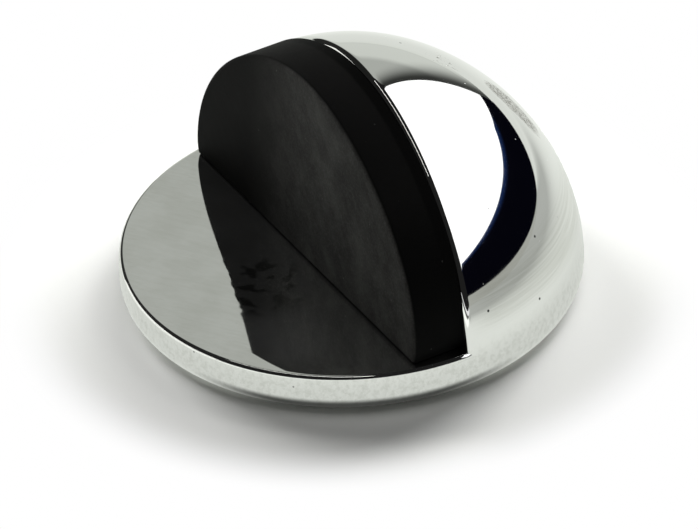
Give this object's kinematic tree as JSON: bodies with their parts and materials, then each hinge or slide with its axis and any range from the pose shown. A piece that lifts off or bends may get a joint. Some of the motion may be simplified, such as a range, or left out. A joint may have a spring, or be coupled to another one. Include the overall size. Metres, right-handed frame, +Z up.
{
  "type": "floor door stop",
  "caption": "Half-moon floor door stop: chrome-plated cast dome with a flat front lip, a black rubber buffer on its upright face and a tapped boss underneath.",
  "frame": {"origin": "on the floor, under the middle of the round foot", "axes": "+Z up, buffer facing -Y, +X across the buffer"},
  "size_m": [0.045, 0.045, 0.0245],
  "materials": {
    "chrome": "polished, with fine scratches",
    "rubber": "matt, slightly dusty"
  },
  "bodies": {
    "root": {"body": "chrome", "buffer": "rubber"}
  },
  "joints": []
}
